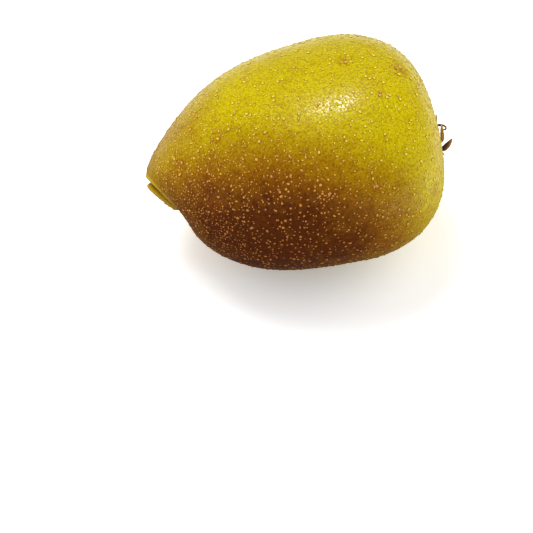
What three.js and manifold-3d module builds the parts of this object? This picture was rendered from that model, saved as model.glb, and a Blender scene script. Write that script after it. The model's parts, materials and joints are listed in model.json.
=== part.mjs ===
// A golden kiwi fruit lying on its side, as picked.
//
// Millimetres, +Z up, resting on z = 0. The beak of the blossom end points to -X and the stem end
// to +X. The skin is one closed surface from the tip of the beak to the stem end. Each point of it
// comes from a place on the outline, an angle round the long axis and a few formulas for the
// oblique beak, the dimple and the uneven growth. Raised lenticels stand on it.

import * as THREE from "three";
import Module from "manifold-3d";
import { mergeVertices } from "three/addons/utils/BufferGeometryUtils.js";

const wasm = await Module();
wasm.setup();

// Body. The widest station is at x = 0 of the fruit's own axis.
const WIDEST_RADIUS = 28.6;
const SECTION_FLATNESS = 0.95;
const NOSE_LENGTH = 52.7;
const NOSE_POWER = 2.5;
const STEM_LENGTH = 25;
const STEM_POWER = 0.3;
const SIDE_BEND = 0.9;
const SHOULDER_LIFT = 0.4;

// Beak at the blossom end: a rim round a groove with a blunt knob in it, cut off at a slant.
const TIP_ROUNDING = 5.6;
const RIM_RADIUS = 5.55;
const RIM_HEIGHT = 0.45;
const RIM_WIDTH = 0.7;
const GROOVE_DEPTH = 1.6;
const GROOVE_WIDTH = 0.5;
const GROOVE_INSET = 0.3;
const CLEFT_TURN = THREE.MathUtils.degToRad(290);
const WIDE_CLEFT_TURN = THREE.MathUtils.degToRad(130);
const KNOB_RADIUS = 4.45;
const KNOB_HEIGHT = 2.5;
const SLANT = 0.76;
const SLANT_SET_BACK = 5.5;
const SLANT_REACH = 9;
const SLANT_EASE = 1.5;
const SLANT_FADE_POWER = 8;

// The side of the beak that reaches furthest out, as an angle round the axis from +Y to +Z.
const BROW_ANGLE = THREE.MathUtils.degToRad(40);

// Stem end: a shallow dimple with a corky button and a dried calyx, a little off the axis.
const SCAR_OFFSET = 2.8;
const SCAR_Y = -SCAR_OFFSET * Math.cos(BROW_ANGLE);
const SCAR_Z = -SCAR_OFFSET * Math.sin(BROW_ANGLE);
const DIMPLE_RADIUS = 9;
const DIMPLE_DEPTH = 1.3;
const GAP = 0.3;
const BUTTON_RADIUS = 2.6;
const BUTTON_HEIGHT = 1.3;
const BUTTON_RIDGES = 9;
const CALYX_INNER_RADIUS = 2.95;
const CALYX_OUTER_RADIUS = 4.3;
const CALYX_HEIGHT = 0.8;
const SEPAL_THICKNESS = 0.6;
const SEPAL_STEPS = 8;
const ROLLED_SEPAL_STEPS = 18;
const SEPAL_SETTLED = 0.35;

// How it lies: the beak end hangs a little and the belly has a small flat spot.
const REST_TILT = THREE.MathUtils.degToRad(6);
const AXIS_HEIGHT = 26.9;
const WIDEST_AT = 9;

// Slow waves of uneven growth: height, how often they go round, turn per millimetre along the
// axis, and phase.
const WAVES = [
  { height: 0.2, round: 3, along: 0.09, phase: 0.75 },
  { height: 0.4, round: 2, along: -0.13, phase: 2.2 },
];

// Mesh fineness. The beak's rings are close together across its rim, groove and knob.
const AROUND = 56;
const FLANK_RINGS = 35;
const FLANK_START_RADIUS = 8.2;
const BEAK_RADII = [1.5, 2.8, 3.7, 4.2, 4.45, 4.75, 5.05, 5.4, 5.9, 6.8];

// Lenticels: low raised corky dots, crowded towards the beak and sparse at the stem end.
const LENTICELS = 560;
const LENTICEL_SPAN = 0.7;
const LENTICEL_RISE = 0.34;
const LENTICEL_SIDES = 5;
const CROWDING_AT_BEAK = 1.45;
const CROWDING_AT_STEM = 0.55;
const SMALLEST_CELL = 0.9;
const BARE_HEIGHT = 0.35;
const SEED = 20417;

// A small repeatable random source, so that the fruit is the same every time.
function randomSource(seed) {
  let state = seed;
  return () => {
    state = (state * 1664525 + 1013904223) % 4294967296;
    return state / 4294967296;
  };
}

// Distance of the plain egg-shaped skin from the widest station, on the beak side.
function noseAt(radius) {
  const rounded = Math.min((radius ** 6 + TIP_ROUNDING ** 6) ** (1 / 6), WIDEST_RADIUS);
  return -NOSE_LENGTH * (1 - rounded / WIDEST_RADIUS) ** (1 / NOSE_POWER);
}

// The same on the stem side, before the dimple.
function stemAt(radius) {
  return STEM_LENGTH * Math.sqrt(1 - (radius / WIDEST_RADIUS) ** (1 / STEM_POWER));
}

// Depth of the dimple at a distance from the middle of the scar.
function dimple(distance) {
  return DIMPLE_DEPTH * Math.max(0, 1 - (distance / DIMPLE_RADIUS) ** 2) ** 2;
}

// The floor of the dimple at a distance from the middle of the scar.
function seatAt(distance) {
  return stemAt(distance) - dimple(distance);
}

// Height of rim, groove and knob above the plain tip of the beak. The groove is torn into five
// deeper clefts, and the knob sits nearer to the side away from the brow.
function beakRelief(radius, angle) {
  const turn = angle - BROW_ANGLE;
  const bell = (middle, width) => Math.exp(-(((radius - middle) / width) ** 2));
  const edge = KNOB_RADIUS * (1 - 0.07 * Math.cos(turn));
  const knob = KNOB_HEIGHT * Math.sqrt(Math.max(0, 1 - (radius / edge) ** 3.5));
  const cleft = 0.6 + 0.4 * Math.cos(5 * turn - CLEFT_TURN);
  const width = GROOVE_WIDTH * (1 + 0.3 * Math.cos(turn - WIDE_CLEFT_TURN));
  const groove = GROOVE_DEPTH * cleft * bell(edge + GROOVE_INSET, width);
  return RIM_HEIGHT * bell(RIM_RADIUS, RIM_WIDTH) - groove + knob;
}

// How far the slanting end of the beak is set back towards the stem. It fades out towards the
// widest station, where the skin of the stem side carries on.
function slantSetBack(radius, lead) {
  const ahead = SLANT_SET_BACK - SLANT * lead;
  const eased = (ahead + Math.sqrt(ahead ** 2 + SLANT_EASE ** 2)) / 2;
  const fade = 1 - (radius / WIDEST_RADIUS) ** SLANT_FADE_POWER;
  return (fade * eased) / (1 + (radius / SLANT_REACH) ** 3);
}

// Gentle unevenness of the grown fruit, in millimetres, for a point on the outline.
function unevenness(x, radius, angle) {
  const heights = WAVES.map((wave) =>
    wave.height * Math.sin(wave.round * angle + wave.along * x + wave.phase));
  return heights.reduce((sum, height) => sum + height) * (radius / WIDEST_RADIUS);
}

// The point of the skin for a place on the outline and an angle round the axis.
function skinPoint(place, angle) {
  const radius = place.y + unevenness(place.x, place.y, angle);
  const y = radius * Math.cos(angle);
  const z = radius * Math.sin(angle) * SECTION_FLATNESS;
  if (place.x < 0) {
    const lead = y * Math.cos(BROW_ANGLE) + z * Math.sin(BROW_ANGLE);
    const x = place.x + slantSetBack(place.y, lead) - beakRelief(place.y, angle);
    return new THREE.Vector3(x, y - SIDE_BEND * (place.x / NOSE_LENGTH) ** 2, z);
  }
  const lift = SHOULDER_LIFT * (place.x / STEM_LENGTH) ** 2;
  const raisedY = y + lift * Math.cos(BROW_ANGLE);
  const raisedZ = z + lift * Math.sin(BROW_ANGLE);
  const x = place.x - dimple(Math.hypot(raisedY - SCAR_Y, raisedZ - SCAR_Z));
  return new THREE.Vector3(x, raisedY, raisedZ);
}

// The outline from just off the tip of the beak to just off the middle of the stem end.
function outline() {
  const beak = BEAK_RADII.map((radius) => new THREE.Vector2(noseAt(radius), radius));
  const steps = 90;
  const flank = [];
  for (let i = 0; i <= steps; i += 1) {
    const share = Math.sin((i / steps) * (Math.PI / 2));
    const radius = FLANK_START_RADIUS + (WIDEST_RADIUS - FLANK_START_RADIUS) * share;
    flank.push(new THREE.Vector2(noseAt(radius), radius));
  }
  for (let i = 1; i <= steps; i += 1) {
    const radius = WIDEST_RADIUS * Math.cos((i / steps) * (Math.PI / 2));
    flank.push(new THREE.Vector2(stemAt(radius), radius));
  }
  const curve = new THREE.SplineCurve(flank);
  curve.arcLengthDivisions = 1000;
  const even = curve.getSpacedPoints(FLANK_RINGS).slice(0, -1);
  return [...beak, ...even];
}

// The rings of points that the skin is woven from.
function skinRings() {
  return outline().map((place) => {
    const ring = [];
    for (let j = 0; j < AROUND; j += 1) {
      ring.push(skinPoint(place, (j / AROUND) * 2 * Math.PI));
    }
    return ring;
  });
}

// A point inside a four-cornered cell, from the shares along and across it.
function insideCell(corners, along, across) {
  const [a, d, c, b] = corners;
  const near = a.clone().lerp(b, along);
  const far = d.clone().lerp(c, along);
  return near.lerp(far, across);
}

// One raised lenticel set into a cell: a ring of points on the skin and a raised middle.
function lenticelCell(corners, random) {
  const [a, d, c, b] = corners;
  const length = (a.distanceTo(b) + d.distanceTo(c)) / 2;
  const width = (a.distanceTo(d) + b.distanceTo(c)) / 2;
  const widest = 0.3 * Math.min(length, width);
  const span = Math.min(LENTICEL_SPAN * (0.8 + 0.4 * random()), widest);
  const along = 0.5 + (random() - 0.5) * (0.8 - (2 * span) / length);
  const across = 0.5 + (random() - 0.5) * (0.8 - (2 * span) / width);
  const turn = random() * 2 * Math.PI;
  const at = (u, v) => ({ point: insideCell(corners, u, v), angle: Math.atan2(v - across, u - along) });
  const ring = [];
  for (let k = 0; k < LENTICEL_SIDES; k += 1) {
    const angle = turn - (k / LENTICEL_SIDES) * 2 * Math.PI;
    ring.push(at(along + (span * Math.cos(angle)) / length, across + (span * Math.sin(angle)) / width));
  }
  const outer = [at(0, 0), at(0, 1), at(1, 1), at(1, 0)];
  const normal = c.clone().sub(a).cross(b.clone().sub(d)).normalize();
  const top = insideCell(corners, along, across);
  top.addScaledVector(normal, LENTICEL_RISE * (span / LENTICEL_SPAN));
  return weave(outer, ring, top);
}

// Joins an outer loop, an inner loop and a top point by triangles. Both loops run the same way
// round, with falling angles.
function weave(outer, ring, top) {
  const fall = (from, to) => (from - to + 4 * Math.PI) % (2 * Math.PI);
  const start = outer[0].angle;
  const order = (loop) => [...loop].sort((p, q) => fall(start, p.angle) - fall(start, q.angle));
  const inner = order(ring);
  const rim = order(outer);
  const triangles = [];
  let i = 0;
  let j = 0;
  let held = inner[inner.length - 1];
  while (i < rim.length || j < inner.length) {
    const nextRim = i < rim.length ? fall(start, rim[i].angle) : Infinity;
    const nextInner = j < inner.length ? fall(start, inner[j].angle) : Infinity;
    if (nextRim <= nextInner) {
      const from = rim[(i + rim.length - 1) % rim.length];
      triangles.push([from.point, rim[i].point, held.point]);
      i += 1;
    } else {
      const corner = rim[(i + rim.length - 1) % rim.length];
      triangles.push([corner.point, inner[j].point, held.point]);
      held = inner[j];
      j += 1;
    }
  }
  inner.forEach((entry, k) => {
    triangles.push([top, entry.point, inner[(k + 1) % inner.length].point]);
  });
  return triangles;
}

// A closed geometry from triangles of points, with shared corners merged.
function closedGeometry(triangles) {
  const values = triangles.flat().flatMap((point) => [point.x, point.y, point.z]);
  const geometry = new THREE.BufferGeometry();
  geometry.setAttribute("position", new THREE.Float32BufferAttribute(values, 3));
  return mergeVertices(geometry, 1e-4);
}

// Triangles of a tube of rings that is closed by a fan at both ends.
function tubeTriangles(rings, first, last, cell) {
  const triangles = [];
  const count = rings[0].length;
  const end = rings[rings.length - 1];
  for (let j = 0; j < count; j += 1) {
    const k = (j + 1) % count;
    triangles.push([first, rings[0][k], rings[0][j]]);
    triangles.push([end[j], end[k], last]);
    for (let i = 0; i < rings.length - 1; i += 1) {
      triangles.push(...cell([rings[i][j], rings[i][k], rings[i + 1][k], rings[i + 1][j]], i));
    }
  }
  return triangles;
}

// A cell as two triangles.
function plainCell([a, d, c, b]) {
  return [[a, d, c], [a, c, b]];
}

// Height of a point of the fruit above the surface that it lies on.
function heightOf(point) {
  return point.x * Math.sin(REST_TILT) + point.z * Math.cos(REST_TILT) + AXIS_HEIGHT;
}

// Presses the belly flat where it would reach below that surface.
function pressFlat(point) {
  const up = new THREE.Vector3(Math.sin(REST_TILT), 0, Math.cos(REST_TILT));
  return point.addScaledVector(up, Math.max(0, -heightOf(point)));
}

// The whole skin with its lenticels, which leave out the flat spot and the beak. Each cell adds
// its share of a lenticel, and one is placed when a whole one is owed, so that they lie evenly.
function fruitGeometry() {
  const random = randomSource(SEED);
  const rings = skinRings().map((ring) => ring.map(pressFlat));
  const share = LENTICELS / (FLANK_RINGS * AROUND);
  const first = skinPoint(new THREE.Vector2(noseAt(0), 0), 0);
  const last = skinPoint(new THREE.Vector2(stemAt(0), 0), 0);
  let owed = 0;
  const cell = (corners, i) => {
    const stemward = (i - BEAK_RADII.length) / FLANK_RINGS;
    const crowding = CROWDING_AT_BEAK + (CROWDING_AT_STEM - CROWDING_AT_BEAK) * stemward;
    const roomy = corners[0].distanceTo(corners[1]) > SMALLEST_CELL;
    const clear = corners.every((corner) => heightOf(corner) > BARE_HEIGHT);
    owed += stemward > 0 && roomy && clear ? 2 * random() * share * crowding : 0;
    if (owed < 1) {
      return plainCell(corners);
    }
    owed -= 1;
    return lenticelCell(corners, random);
  };
  return closedGeometry(tubeTriangles(rings, first, last, cell));
}

// The corky button where the stalk broke off, with a low crater and weak ridges.
function buttonGeometry() {
  const base = seatAt(BUTTON_RADIUS) + GAP;
  const profile = [
    [0.55, 0], [0.96, 0], [1, 0.3], [0.98, 0.75], [0.86, 1], [0.6, 0.96], [0.3, 0.72],
  ];
  const sides = 3 * BUTTON_RIDGES;
  const rings = profile.map(([share, level]) => {
    const ring = [];
    for (let j = 0; j < sides; j += 1) {
      const angle = (j / sides) * 2 * Math.PI;
      const ridged = 1 + (share > 0.8 ? 0.035 * Math.cos(BUTTON_RIDGES * angle) : 0);
      const radius = BUTTON_RADIUS * share * ridged;
      const x = base + BUTTON_HEIGHT * level;
      ring.push(new THREE.Vector3(x, radius * Math.cos(angle), radius * Math.sin(angle)));
    }
    return ring;
  });
  const first = new THREE.Vector3(base, 0, 0);
  const last = new THREE.Vector3(base + BUTTON_HEIGHT * 0.62, 0, 0);
  return closedGeometry(tubeTriangles(rings, first, last, plainCell));
}

// Each dried sepal, in degrees and millimetres: its turn round the scar from the brow side, its
// length and width, how steeply it stands away from the fruit at its foot, how far it curls in
// from there to its tip, how far it leans sideways, how far its blade is twisted, and how far its
// tip is rolled up. The last one is a torn shred.
const SEPALS = [
  { turn: 180, length: 4.5, width: 1.5, stand: 106, curl: 32, sway: 0, twist: 70, roll: 0 },
  { turn: 106, length: 5.4, width: 1.2, stand: 34, curl: 8, sway: -80, twist: 15, roll: 0 },
  { turn: 40, length: 4.0, width: 1.9, stand: 14, curl: -12, sway: 8, twist: 0, roll: 0 },
  { turn: 322, length: 4.9, width: 0.9, stand: 102, curl: 0, sway: 0, twist: 0, roll: 220 },
  { turn: 256, length: 4.2, width: 1.7, stand: 34, curl: -6, sway: 10, twist: 0, roll: 0 },
  { turn: 206, length: 2.6, width: 0.9, stand: 44, curl: -30, sway: 8, twist: 40, roll: 0 },
];

// The low ring of the calyx, which lies in the dimple round the button.
function calyxRing() {
  const base = seatAt(CALYX_OUTER_RADIUS) + GAP;
  const middle = (CALYX_INNER_RADIUS + CALYX_OUTER_RADIUS) / 2;
  const half = (CALYX_OUTER_RADIUS - CALYX_INNER_RADIUS) / 2;
  const profile = [];
  for (let k = 0; k <= 8; k += 1) {
    const angle = (k / 8) * 2 * Math.PI;
    const level = base + (CALYX_HEIGHT / 2) * (1 + Math.sin(angle));
    profile.push(new THREE.Vector2(middle + half * Math.cos(angle), level));
  }
  const ring = new THREE.LatheGeometry(profile, 32);
  ring.rotateZ(-Math.PI / 2);
  return ring;
}

// One sepal: a thin leaf with a ridge along its back, swept along an arc that starts in the ring.
// It has settled into its lean and its twist a third of the way along.
function sepalGeometry(sepal) {
  const steps = sepal.roll > 0 ? ROLLED_SEPAL_STEPS : SEPAL_STEPS;
  const angle = BROW_ANGLE + THREE.MathUtils.degToRad(sepal.turn);
  const outward = new THREE.Vector3(0, Math.cos(angle), Math.sin(angle));
  const side = new THREE.Vector3(0, -Math.sin(angle), Math.cos(angle));
  const away = new THREE.Vector3(1, 0, 0);
  const foot = outward.clone().multiplyScalar((CALYX_INNER_RADIUS + CALYX_OUTER_RADIUS) / 2);
  foot.addScaledVector(away, seatAt(CALYX_OUTER_RADIUS) + GAP + CALYX_HEIGHT / 2);
  const middle = foot.clone();
  const heading = new THREE.Vector3();
  const rings = [];
  for (let i = 0; i <= steps; i += 1) {
    const share = i / steps;
    const rolled = sepal.curl * share + sepal.roll * share ** 4;
    const rise = THREE.MathUtils.degToRad(sepal.stand + rolled);
    const lean = THREE.MathUtils.degToRad(sepal.sway * Math.min(1, share / SEPAL_SETTLED));
    heading.copy(outward).multiplyScalar(Math.cos(rise)).addScaledVector(away, Math.sin(rise));
    heading.multiplyScalar(Math.cos(lean)).addScaledVector(side, Math.sin(lean));
    middle.addScaledVector(heading, i === 0 ? 0 : sepal.length / steps);
    rings.push(sepalSection(sepal, share, middle, heading, side));
  }
  const tip = middle.clone().addScaledVector(heading, 0.1);
  return closedGeometry(tubeTriangles(rings, foot, tip, plainCell));
}

// The six-sided section of a sepal: sharp at both edges, thicker along the middle.
function sepalSection(sepal, share, middle, heading, side) {
  const twist = THREE.MathUtils.degToRad(sepal.twist * Math.min(1, share / SEPAL_SETTLED));
  const back = heading.clone().cross(side).normalize().applyAxisAngle(heading, twist);
  const edge = back.clone().cross(heading).normalize();
  const half = (sepal.width / 2) * Math.sin(Math.PI * (0.24 + 0.72 * share)) ** 0.8;
  const thick = (SEPAL_THICKNESS / 2) * (1 - 0.35 * share);
  const inner = 0.45 * half;
  const upper = [[half, 0], [inner, thick], [-inner, thick]];
  const lower = [[-half, 0], [-inner, -thick], [inner, -thick]];
  return [...upper, ...lower].map(([across, up]) =>
    middle.clone().addScaledVector(edge, across).addScaledVector(back, up));
}

// A closed geometry as a solid that can be joined.
function solidOf(geometry) {
  geometry.deleteAttribute("normal");
  geometry.deleteAttribute("uv");
  const merged = mergeVertices(geometry, 1e-4);
  const vertProperties = new Float32Array(merged.getAttribute("position").array);
  const triVerts = new Uint32Array(merged.getIndex().array);
  return new wasm.Manifold(new wasm.Mesh({ numProp: 3, vertProperties, triVerts }));
}

// A solid's surface as a geometry.
function geometryOf(solid) {
  const mesh = solid.getMesh();
  const geometry = new THREE.BufferGeometry();
  geometry.setAttribute("position", new THREE.BufferAttribute(mesh.vertProperties, 3));
  geometry.setIndex(new THREE.BufferAttribute(mesh.triVerts, 1));
  return geometry;
}

// The calyx: the ring and its sepals grown together.
function calyxGeometry() {
  const joined = SEPALS.reduce(
    (solid, sepal) => solid.add(solidOf(sepalGeometry(sepal))),
    solidOf(calyxRing()),
  );
  return geometryOf(joined);
}

function piece(name, geometry, color, roughness) {
  geometry.computeVertexNormals();
  const material = new THREE.MeshStandardMaterial({ color, roughness, metalness: 0 });
  const mesh = new THREE.Mesh(geometry, material);
  mesh.name = name;
  return mesh;
}

// The pieces share the fruit's own axis, so one group lays the whole fruit down.
const lying = new THREE.Group();
lying.rotation.y = -REST_TILT;
lying.position.set(WIDEST_AT, 0, AXIS_HEIGHT);
lying.add(piece("fruit_body", fruitGeometry(), 0xa8920f, 0.48));

const scar = new THREE.Group();
scar.position.set(0, SCAR_Y, SCAR_Z);
scar.add(piece("stem_button", buttonGeometry(), 0x8a6b3e, 0.9));
scar.add(piece("dried_calyx", calyxGeometry(), 0x5b3d17, 0.88));
lying.add(scar);

const kiwi = new THREE.Group();
kiwi.add(lying);

export default kiwi;
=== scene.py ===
"""A golden kiwi fruit lying on its side, dressed round its packed solids.

The skin is grown from the same formula as its solid, in metres: a place on the outline, an angle
round the long axis, an oblique beak, a dimple and slow uneven growth. Geometry Nodes spread its
lenticels and set its corky scars. Everything is laid out as an add-on.
"""

import json
import math

import bmesh
import bpy
import numpy as np
from bpy.props import FloatProperty, FloatVectorProperty, IntProperty, PointerProperty
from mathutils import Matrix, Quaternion, Vector, noise
from mathutils.bvhtree import BVHTree

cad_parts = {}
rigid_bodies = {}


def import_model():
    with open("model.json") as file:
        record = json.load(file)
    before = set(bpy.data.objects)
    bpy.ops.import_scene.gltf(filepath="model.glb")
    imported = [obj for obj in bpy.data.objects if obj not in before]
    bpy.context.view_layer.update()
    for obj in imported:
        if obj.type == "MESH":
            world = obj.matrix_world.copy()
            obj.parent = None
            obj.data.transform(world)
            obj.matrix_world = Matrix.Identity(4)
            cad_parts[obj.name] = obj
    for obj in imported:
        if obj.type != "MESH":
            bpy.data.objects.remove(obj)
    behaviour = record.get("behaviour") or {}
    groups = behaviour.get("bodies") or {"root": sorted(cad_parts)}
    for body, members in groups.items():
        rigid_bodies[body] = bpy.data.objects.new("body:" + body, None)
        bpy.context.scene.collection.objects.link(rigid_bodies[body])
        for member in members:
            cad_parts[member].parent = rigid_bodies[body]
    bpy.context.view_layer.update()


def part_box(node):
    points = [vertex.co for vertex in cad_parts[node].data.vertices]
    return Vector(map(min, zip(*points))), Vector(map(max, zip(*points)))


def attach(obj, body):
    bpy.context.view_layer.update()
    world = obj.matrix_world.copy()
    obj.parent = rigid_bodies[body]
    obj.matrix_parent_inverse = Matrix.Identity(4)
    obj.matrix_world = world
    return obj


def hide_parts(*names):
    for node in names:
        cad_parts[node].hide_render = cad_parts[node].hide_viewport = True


bl_info = {
    "name": "Golden Kiwi Fruit",
    "version": (1, 0, 0),
    "blender": (4, 5, 0),
    "location": "View3D > Sidebar > Kiwi",
    "description": "Skin, lenticels, stem button, dried calyx and studio of a golden kiwi fruit",
    "category": "Add Mesh",
}

for left_over in list(bpy.data.objects):
    bpy.data.objects.remove(left_over)
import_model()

MM = 0.001

# Form of the skin that a user has no reason to change.
NOSE_POWER = 2.5
STEM_POWER = 0.3
SHOULDER_LIFT = 0.4 * MM
TIP_ROUNDING = 5.6 * MM
RIM_RADIUS = 5.55 * MM
RIM_WIDTH = 0.7 * MM
GROOVE_WIDTH = 0.5 * MM
GROOVE_INSET = 0.3 * MM
CLEFT_TURN = math.radians(290)
WIDE_CLEFT_TURN = math.radians(130)
KNOB_RADIUS = 4.45 * MM
SLANT = 0.76
SLANT_SET_BACK = 5.5 * MM
SLANT_REACH = 9 * MM
SLANT_EASE = 1.5 * MM
SLANT_FADE_POWER = 8
BROW_ANGLE = math.radians(40)
SCAR_OFFSET = 2.8 * MM
SCAR_Y = -SCAR_OFFSET * math.cos(BROW_ANGLE)
SCAR_Z = -SCAR_OFFSET * math.sin(BROW_ANGLE)
DIMPLE_RADIUS = 9 * MM
WIDEST_AT = 9 * MM
PIECE_GAP = 0.3 * MM

# The skin lies under its packed solid by this share of the relief, so that lenticels fit in too.
SUNK = 1.1

# Slow waves of uneven growth: height, how often round, turn per metre along the axis, phase.
WAVES = (
    (0.2 * MM, 3, 90.0, 0.75),
    (0.4 * MM, 2, -130.0, 2.2),
)

# Fineness of the skin's mesh.
AROUND = 240
ANGLES = np.arange(AROUND) * 2 * math.pi / AROUND
BEAK_STEP = 0.16 * MM
FLANK_START = 8.0 * MM
FLANK_RINGS = 236

# Each dried sepal: turn round the scar from the brow side, length, width, how steeply it stands
# away from the fruit at its foot, how far it curls in to its tip, how far it leans sideways, how
# far its blade is twisted, how far its tip is rolled up, and its thickness as a share. The last
# one is a torn shred.
SEPALS = (
    (180, 4.35 * MM, 1.7 * MM, 106, 32, 0, 70, 0, 0.9),
    (106, 5.4 * MM, 1.2 * MM, 34, 8, -80, 15, 0, 0.9),
    (40, 4.0 * MM, 1.9 * MM, 14, -12, 8, 0, 0, 0.7),
    (322, 4.7 * MM, 0.9 * MM, 102, 0, 0, 0, 220, 1.25),
    (256, 4.2 * MM, 1.7 * MM, 34, -6, 10, 0, 0, 0.8),
    (206, 2.6 * MM, 0.8 * MM, 44, -30, 8, 40, 0, 0.6),
)
SEPAL_SETTLED = 0.35

# Corky scars: where they show in the photograph (pixels), how many lumps, how far they spread
# and how large a lump is.
SCARS = (
    ((376, 186), 6, 0.8 * MM, 0.42 * MM),
    ((328, 197), 9, 1.1 * MM, 0.32 * MM),
    ((380, 92), 2, 0.35 * MM, 0.40 * MM),
    ((277, 157), 3, 0.45 * MM, 0.34 * MM),
    ((292, 158), 2, 0.30 * MM, 0.32 * MM),
    ((291, 177), 2, 0.35 * MM, 0.38 * MM),
    ((243, 158), 3, 0.50 * MM, 0.33 * MM),
    ((219, 135), 3, 0.60 * MM, 0.34 * MM),
    ((211, 140), 4, 0.90 * MM, 0.26 * MM),
    ((235, 113), 3, 0.70 * MM, 0.30 * MM),
    ((243, 78), 3, 0.70 * MM, 0.30 * MM),
    ((344, 60), 5, 1.10 * MM, 0.26 * MM),
    ((397, 69), 11, 2.00 * MM, 0.30 * MM),
    ((251, 227), 2, 0.50 * MM, 0.40 * MM),
    ((214, 177), 3, 0.60 * MM, 0.32 * MM),
    ((318, 106), 2, 0.40 * MM, 0.36 * MM),
)

# Stained patches of the skin: where (pixels of the photograph), reach, and strength.
STAINS = (
    ((178, 163), 4.2 * MM, 0.80),
    ((216, 137), 3.0 * MM, 0.55),
    ((345, 60), 3.2 * MM, 0.60),
    ((398, 68), 4.0 * MM, 0.60),
    ((436, 190), 3.6 * MM, 0.45),
    ((328, 197), 3.0 * MM, 0.45),
    ((212, 205), 5.0 * MM, 0.50),
)

# The photograph's frame and the viewing angle that was worked out from the fruit's outline.
PHOTO_PIXELS = 533
SENSOR = 36 * MM
AIM = Vector((-14.3 * MM, -25.6 * MM, 20.0 * MM))
VIEW_AZIMUTH = math.radians(-13)
VIEW_ELEVATION = math.radians(54)

# How the beak is coloured: painted shade in its groove, a painted highlight on the rim's crest, and
# a lighter knob. The skin's fine unevenness starts at one radius and is full a little further out.
GROOVE_SHADE_INSET = 0.25 * MM
GROOVE_SHADE_WIDTH = 0.55 * MM
CREST_OFFSET = 0.35 * MM
CREST_WIDTH = 0.75 * MM
KNOB_SHOULDER = 0.8 * MM
FREE_FROM = 3 * MM
FREE_WITHIN = 6 * MM

# Lenticels crowd in patches of about this size. The skin is bare near the table, and past a share
# of its half length at the tip of the beak.
PATCH_SIZE = 7 * MM
PATCHINESS = 0.25
BARE_BELOW = 0.5 * MM
BARE_TIP = -0.955

# The sides of the fruit on which the skin is bronzed, as directions, and how: where the bronzing
# starts and is full, as shares of the fruit's half sizes, and how deep it gets. On the front and
# the underside the darkening is partly painted shade.
FRONT = Vector((-0.51, -0.93, 0.0))
BELLY = Vector((-0.25, 0.30, -0.92))
BEAK = Vector((-1.0, 0.0, 0.0))
BLUSHES_AND_SHADE = (
    (FRONT, 0.16, 1.00, 0.84),
    (BELLY, 0.35, 1.20, 0.50),
    (BEAK, 0.30, 0.90, 0.30),
)

# Each light: its name, size, distance, direction from the fruit, and the rays that don't see it.
LIGHTS = (
    ("key", 0.34, 0.70, (-0.20, 0.32, 0.92), "glossy"),
    ("fill", 0.45, 0.75, (0.84, -0.40, 0.12), "glossy"),
    ("glint", 0.15, 0.70, (0.12, 0.27, 0.94), "diffuse"),
    ("beak", 0.45, 0.70, (-0.92, -0.25, 0.28), "glossy"),
)
LIGHTS_AIM_AT = Vector((0, 0, 25 * MM))
TABLE_RADIUS = 4.0
TABLE_WHITE = (0.86, 0.86, 0.86)
DIM_SPOT = Vector((-8 * MM, -46 * MM, 0))


def paint(red, green, blue):
    """A colour as seen on a screen, 0 to 255, as the linear colour of a shader."""
    shares = (red / 255, green / 255, blue / 255)
    return tuple(s / 12.92 if s <= 0.04045 else ((s + 0.055) / 1.055) ** 2.4 for s in shares)


def number(name, description, default, **options):
    """A property that holds a number from 0 up."""
    return FloatProperty(name=name, description=description, default=default, min=0, **options)


def length(name, description, default):
    """A property that holds a length in metres."""
    return number(name, description, default, unit="LENGTH", precision=5)


def power(name, description, default):
    """A property that holds the power of a light."""
    return number(name, description, default, unit="POWER")


def share(name, description, default):
    """A property that holds a share from 0 to 1."""
    return number(name, description, default, max=1, subtype="FACTOR")


def colour(name, description, default):
    """A property that holds a colour."""
    return FloatVectorProperty(
        name=name, description=description, default=default, size=3, min=0, max=1, subtype="COLOR"
    )


class KiwiShape(bpy.types.PropertyGroup):
    """Sizes of the grown fruit."""

    widest_radius: length("Widest radius", "Half of the fruit's width", 28.6 * MM)
    nose_length: length("Nose length", "From the widest station to the beak", 52.7 * MM)
    stem_length: length("Stem length", "From the widest station to the stem end", 25 * MM)
    flatness: share("Flatness", "Height of the section as a share of its width", 0.95)
    side_bend: length("Side bend", "How far the beak leans sideways", 0.9 * MM)
    rim_height: length("Rim height", "Height of the rim round the beak's groove", 0.45 * MM)
    groove_depth: length("Groove depth", "Depth of the groove between rim and knob", 1.6 * MM)
    knob_height: length("Knob height", "Height of the knob in the beak", 2.5 * MM)
    dimple_depth: length("Dimple depth", "Depth of the dimple at the stem end", 1.3 * MM)
    axis_height: length("Axis height", "Height of the long axis above the table", 26.9 * MM)
    rest_tilt: number(
        "Rest tilt", "How far the beak end hangs", math.radians(6), subtype="ANGLE", unit="ROTATION"
    )
    relief: length("Relief", "Height of the fine unevenness of the skin", 0.09 * MM)


class KiwiFinish(bpy.types.PropertyGroup):
    """Colours and gloss of the skin."""

    sunny: colour("Sunny", "Skin on the bright side", paint(212, 193, 2))
    olive: colour("Olive", "Skin between the bright and the bronzed side", paint(190, 158, 3))
    # Bronze, russet and umber also carry painted shade on the fruit's front and underside.
    bronze: colour("Bronze", "Skin where the bronzing starts", paint(170, 124, 4))
    russet: colour("Russet", "Skin on the bronzed side", paint(148, 91, 8))
    umber: colour("Umber", "Skin in the deepest blush", paint(102, 45, 8))
    stain: colour("Stain", "Russet stains", paint(150, 74, 6))
    gloss: share("Gloss", "How glossy the skin is", 0.16)
    wax: share("Wax", "How strongly the waxy bloom on the skin shines", 0.25)


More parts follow.
